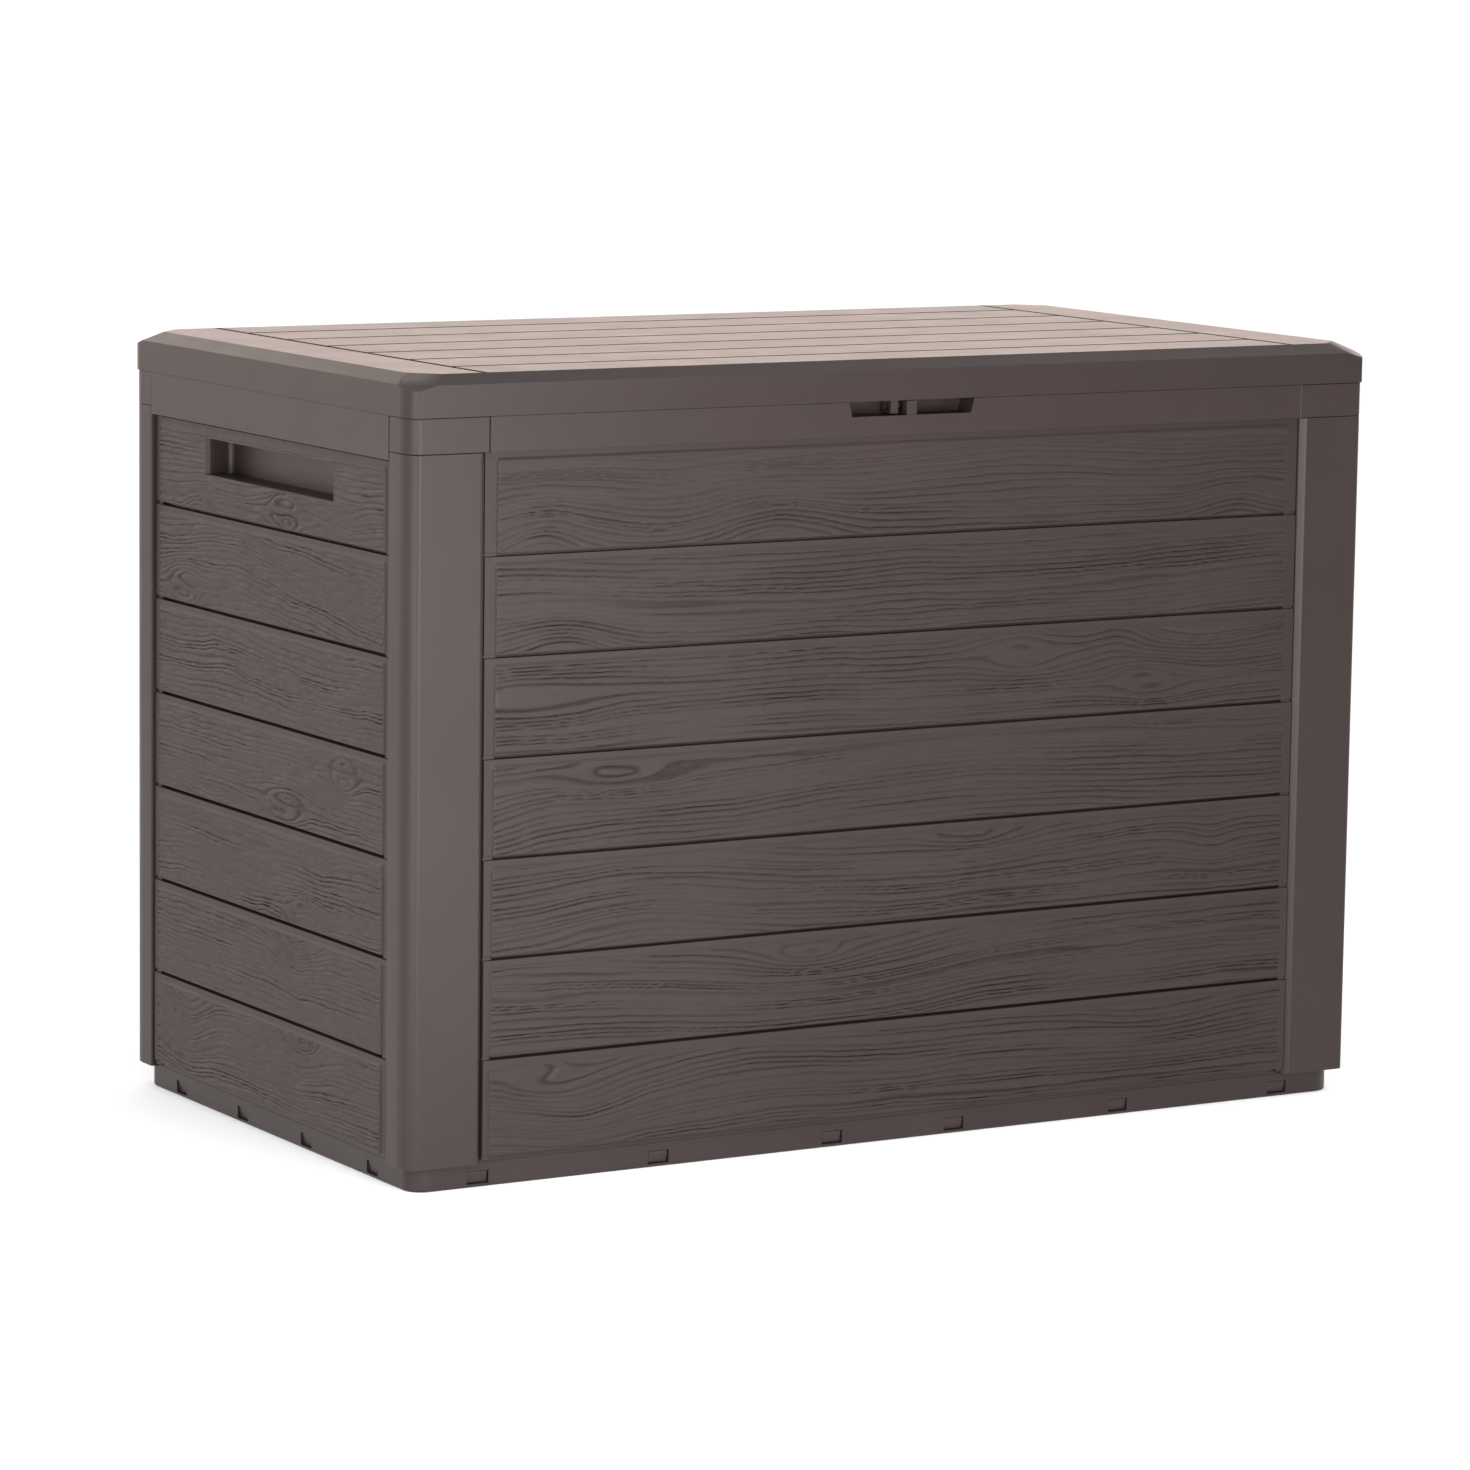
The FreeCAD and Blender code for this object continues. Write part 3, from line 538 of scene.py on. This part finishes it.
def stations(stops, coarse):
    """Grid lines through every stop, no further apart than coarse."""
    lines = []
    for start, end in zip(stops[:-1], stops[1:]):
        count = max(1, int(math.ceil((end - start) / coarse - 1e-6)))
        lines.extend(start + (end - start) * k / count for k in range(count))
    lines.append(stops[-1])
    return np.array(lines)


def face_top_of(plank):
    return plank.high - STRIP - STEP_HIGH


def skin_grid(plank, hole):
    """Grid over one plank, with a line at every edge of its shape."""
    half = plank.half
    end = plank.end
    low = plank.low
    high = plank.high
    u_stops = [-end, -end + EDGE_ROLL, -half - STEP_SIDE, -half - ROUND_OUTSIDE, -half, -half + ROUND_INSIDE]
    z_stops = [low] + [low + FOOT_HIGH * share for share in FOOT_LINES]
    if hole:
        hole_u, hole_low, hole_high = hole
        u_stops += [-hole_u - GRIP_BEVEL, -hole_u, hole_u, hole_u + GRIP_BEVEL]
        z_stops += [hole_low - GRIP_MARGIN, hole_low, hole_high, hole_high + GRIP_MARGIN]
    face_top = face_top_of(plank)
    u_stops += [half - ROUND_INSIDE, half, half + ROUND_OUTSIDE, half + STEP_SIDE, end - EDGE_ROLL, end]
    z_stops += [face_top - EDGE_ROUND, face_top, high - STRIP, high - EDGE_ROLL, high]
    return np.meshgrid(stations(u_stops, GRID_ALONG), stations(z_stops, GRID_UP))


def skin_shape(u, z, plank, hole):
    """How far out the plain skin stands, and where grain may show on it, from 0 to 1."""
    past_end = np.abs(u) - plank.half
    face_top = face_top_of(plank)
    edge_slope = (EDGE_DEEP - STEP) / EDGE_ROLL
    side_drop = np.clip(STEP * past_end / STEP_SIDE, -STEP, STEP)
    side_drop = np.maximum(side_drop, EDGE_DEEP - edge_slope * (plank.end - np.abs(u)))
    top_drop = np.clip(STEP * (z - face_top) / STEP_HIGH, -STEP, STEP)
    top_drop = np.maximum(top_drop, EDGE_DEEP - edge_slope * (plank.high - z))
    w = plank.face - soft_max(soft_max(side_drop, top_drop, EDGE_ROUND), 0 * u, EDGE_ROUND)
    w = w - FOOT_DEEP * np.clip(1 - (z - plank.low) / FOOT_HIGH, 0, 1) ** 2
    grained = fade_in(-past_end, PLAIN_AT_ENDS)
    grained = grained * fade_in(face_top - z, PLAIN_AT_TOP) * fade_in(z - plank.low, PLAIN_AT_FOOT)
    if hole:
        hole_u, hole_low, hole_high = hole
        past_u = np.abs(u) - hole_u
        past_z = np.maximum(hole_low - z, z - hole_high)
        sloped = plank.face - soft_max(GRIP_BEVEL - past_u, 0 * u, EDGE_ROUND)
        w = np.where(past_z <= GRIP_REACH, np.minimum(w, sloped), w)
        grained = grained * fade_in(np.maximum(past_u - GRIP_BEVEL, past_z), PLAIN_AT_GRIP)
    return w, grained


def skin_faces(u, z, hole):
    """The grid's squares, without those over the grip."""
    rows, columns = u.shape
    faces = []
    for j in range(rows - 1):
        for i in range(columns - 1):
            middle_u = 0.5 * (u[0, i] + u[0, i + 1])
            middle_z = 0.5 * (z[j, 0] + z[j + 1, 0])
            if hole and abs(middle_u) < hole[0] and hole[1] < middle_z < hole[2]:
                continue
            a = j * columns + i
            faces.append((a, a + 1, a + 1 + columns, a + columns))
    return faces


def turn_back(mesh, out, back):
    """Carries the skin's open edges straight back into the wall behind."""
    work = bmesh.new()
    work.from_mesh(mesh)
    rim = [edge for edge in work.edges if edge.is_boundary]
    made = bmesh.ops.extrude_edge_only(work, edges=rim)
    for vert in made["geom"]:
        if isinstance(vert, bmesh.types.BMVert):
            vert.co += out * (back - vert.co.dot(out))
    loose = [vert for vert in work.verts if not vert.link_faces]
    bmesh.ops.delete(work, geom=loose, context="VERTS")
    work.normal_update()
    work.to_mesh(mesh)
    work.free()


def plank_skin(name, body, along, out, plank, figures, depth, wild, seed, hole):
    """Grained outer skin of one plank, laid over the plain CAD plank."""
    plank = plank._replace(low=plank.low - SKIN_PROUD / 2, high=plank.high + SKIN_PROUD / 2,
                           end=plank.end + SKIN_PROUD / 2)
    u, z = skin_grid(plank, hole)
    w, grained = skin_shape(u, z, plank, hole)
    relief = grained * grain_relief(u, z, plank, figures, depth, wild, seed)
    w = w + relief + SKIN_PROUD
    points = u[..., None] * np.array(along) + w[..., None] * np.array(out)
    points = points + z[..., None] * np.array((0, 0, 1))
    mesh = bpy.data.meshes.new(name)
    mesh.from_pydata(points.reshape(-1, 3).tolist(), [], skin_faces(u, z, hole))
    # The groove attribute is the mask for the painted shade: how deep each point sits in a grain groove
    groove = mesh.attributes.new("groove", "FLOAT", "POINT")
    groove.data.foreach_set("value", np.clip(-relief / depth, 0, 1).ravel())
    turn_back(mesh, Vector(out), plank.back + SKIN_ROOT)
    piece = new_piece(name, mesh)
    smooth_by_angle(piece, SKIN_SMOOTH_ANGLE)
    use_material(piece, "resin_grained")
    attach(piece, body)


def wall_planks(top, half, half_grows, end, body, face_in):
    """The planks of one wall, from the top one down."""
    first_face = body - face_in[0]
    last_face = body - face_in[1]
    planks = []
    high = top
    for i in range(PLANK_COUNT):
        joint = FIRST_JOINT - PLANK_PITCH * i
        face = first_face + (last_face - first_face) * i / (PLANK_COUNT - 1.0)
        planks.append(Plank(joint + JOINT_GAP / 2, high, half + half_grows * i, end,
                            body - FRAME_INSET, face))
        high = joint - JOINT_GAP / 2
    return planks


def sunk_wall(name, out):
    """A CAD wall whose plank faces sit deeper, behind the grained skins."""
    mesh = cad_mesh(name)
    out = Vector(out)
    frame_w = (BODY_X if out.x else BODY_Y) - FRAME_INSET
    for vert in mesh.vertices:
        if vert.co.dot(out) > frame_w + SUNK_FROM and vert.co.z < BAND_LOW:
            vert.co -= out * SUNK
    piece = new_piece(name + "_core", mesh)
    smooth_by_angle(piece, CORE_SMOOTH_ANGLE)
    use_material(piece, "resin_brown")
    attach(piece, body_with(name))
    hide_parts(name)


def grained_walls():
    """The four walls: each entry has its two axes, its planks and its grain."""
    long_planks = wall_planks(LONG_PLANK_TOP, LONG_PLANK_HALF, LONG_PLANK_GROWS, LONG_PLANK_END,
                              BODY_Y, LONG_FACE_IN)
    end_planks = wall_planks(END_PLANK_TOP, END_PLANK_HALF, 0.0, END_PLANK_END, BODY_X, END_FACE_IN)
    long_grain = (LONG_GRAIN, LONG_GRAIN_DEPTH, LONG_GRAIN_WILD)
    end_grain = (END_GRAIN, END_GRAIN_DEPTH, END_GRAIN_WILD)
    grip = (GRIP_HALF - SKIN_PROUD, GRIP_LOW + SKIN_PROUD, GRIP_HIGH - SKIN_PROUD)
    walls = [
        ("front", (1, 0, 0), (0, -1, 0), long_planks, long_grain, FRONT_SEED, None),
        ("back", (-1, 0, 0), (0, 1, 0), long_planks, long_grain, BACK_SEED, None),
        ("left", (0, -1, 0), (-1, 0, 0), end_planks, end_grain, LEFT_SEED, grip),
        ("right", (0, 1, 0), (1, 0, 0), end_planks, end_grain, RIGHT_SEED, grip),
    ]
    for side, along, out, planks, (figures, depth, wild), seed, top_hole in walls:
        sunk_wall(side + "_wall", out)
        for i, plank in enumerate(planks):
            hole = top_hole if i == 0 else None
            plank_skin("%s_plank_%d" % (side, i + 1), body_with(side + "_wall"), along, out, plank,
                       figures[i], depth, wild, seed + SEEDS_PER_PLANK * i, hole)


# ------------------------------------------------------------------ stage

def studio_floor():
    bpy.ops.mesh.primitive_plane_add(size=FLOOR_SIZE, location=(0, 0, 0))
    floor = bpy.context.object
    floor.name = "studio_floor"
    paint = bpy.data.materials.new("studio_floor")
    paint.use_nodes = True
    shader = paint.node_tree.nodes["Principled BSDF"]
    shader.inputs["Base Color"].default_value = FLOOR_COLOUR
    shader.inputs["Roughness"].default_value = FLOOR_ROUGHNESS
    shader.inputs["Emission Color"].default_value = FLOOR_GLOW_COLOUR
    shader.inputs["Emission Strength"].default_value = FLOOR_GLOW
    floor.data.materials.append(paint)


def white_surround():
    """White surround: bright behind the box, dark on the camera's side, with a ceiling."""
    world = bpy.data.worlds.new("studio")
    bpy.context.scene.world = world
    world.use_nodes = True
    tree = world.node_tree
    shader = tree.nodes["Background"]
    coords = node(tree, "ShaderNodeTexCoord")
    facing = node(tree, "ShaderNodeVectorMath", operation="DOT_PRODUCT")
    facing.inputs[1].default_value = round_the_box(CAMERA_AZIMUTH, 0)
    tree.links.new(coords.outputs["Generated"], facing.inputs[0])
    level = node(tree, "ShaderNodeMapRange")
    level.inputs["From Min"].default_value = FADE_TO_CAMERA[0]
    level.inputs["From Max"].default_value = FADE_TO_CAMERA[1]
    level.inputs["To Min"].default_value = SURROUND_BEHIND
    level.inputs["To Max"].default_value = 0.0
    tree.links.new(facing.outputs["Value"], level.inputs["Value"])
    height = node(tree, "ShaderNodeSeparateXYZ")
    tree.links.new(coords.outputs["Generated"], height.inputs[0])
    upward = node(tree, "ShaderNodeMapRange")
    upward.inputs["From Min"].default_value = FADE_TO_CEILING[0]
    upward.inputs["From Max"].default_value = FADE_TO_CEILING[1]
    tree.links.new(height.outputs["Z"], upward.inputs["Value"])
    strength = node(tree, "ShaderNodeMix", data_type="FLOAT")
    strength.inputs["B"].default_value = SURROUND_CEILING
    tree.links.new(upward.outputs["Result"], strength.inputs["Factor"])
    tree.links.new(level.outputs["Result"], strength.inputs["A"])
    tree.links.new(strength.outputs["Result"], shader.inputs["Strength"])
    tint = node(tree, "ShaderNodeMix", data_type="RGBA", blend_type="MIX")
    tint.inputs["A"].default_value = BEHIND_COLOUR
    tint.inputs["B"].default_value = CEILING_COLOUR
    tree.links.new(upward.outputs["Result"], tint.inputs["Factor"])
    tree.links.new(tint.outputs["Result"], shader.inputs["Color"])


def round_the_box(azimuth, elevation):
    """Unit direction from the box, with azimuth 0 in front and -90 to the left."""
    a = math.radians(azimuth)
    e = math.radians(elevation)
    return Vector((math.sin(a) * math.cos(e), -math.cos(a) * math.cos(e), math.sin(e)))


def add_light(name, azimuth, elevation, distance, width, height, power):
    """Soft light panel that faces the middle of the box."""
    data = bpy.data.lights.new(name, "AREA")
    data.shape = "RECTANGLE"
    data.size = width
    data.size_y = height
    data.energy = power
    data.color = LIGHT_COLOUR
    lamp = new_piece(name, data)
    away = round_the_box(azimuth, elevation)
    lamp.location = Vector((0, 0, AIM_HEIGHT)) + away * distance
    lamp.rotation_euler = away.to_track_quat("Z", "Y").to_euler()


def camera():
    data = bpy.data.cameras.new("camera")
    data.sensor_width = SENSOR
    data.lens = CAMERA_LENS
    data.clip_end = CAMERA_REACH
    cam = new_piece("camera", data)
    back = round_the_box(CAMERA_AZIMUTH, CAMERA_ELEVATION)
    level = Vector((0, 0, 1)).cross(back).normalized()
    upright = back.cross(level)
    roll = math.radians(CAMERA_ROLL)
    right = level * math.cos(roll) + upright * math.sin(roll)
    up = upright * math.cos(roll) - level * math.sin(roll)
    cam.location = right * CAMERA_SIDE + up * CAMERA_RISE + back * CAMERA_DISTANCE
    turn = cam.matrix_world.to_3x3()
    turn.col[0] = right
    turn.col[1] = up
    turn.col[2] = back
    cam.rotation_euler = turn.to_euler()
    bpy.context.scene.camera = cam


# ------------------------------------------------------------------ the scene

def main():
    slots = {entry["node"]: entry["material_slot"] for entry in frame["record"]["subparts"]}
    soft_nodes = [name for name, width in SOFT_EDGES]
    for name, obj in frame["nodes"].items():
        if name not in soft_nodes:
            use_material(obj, slots[name])
    for name, width in SOFT_EDGES:
        softened(name, slots[name], width)
    grained_walls()
    studio_floor()
    white_surround()
    for light in LIGHTS:
        add_light(*light)
    camera()
    bpy.context.scene.view_settings.view_transform = "Standard"


main()
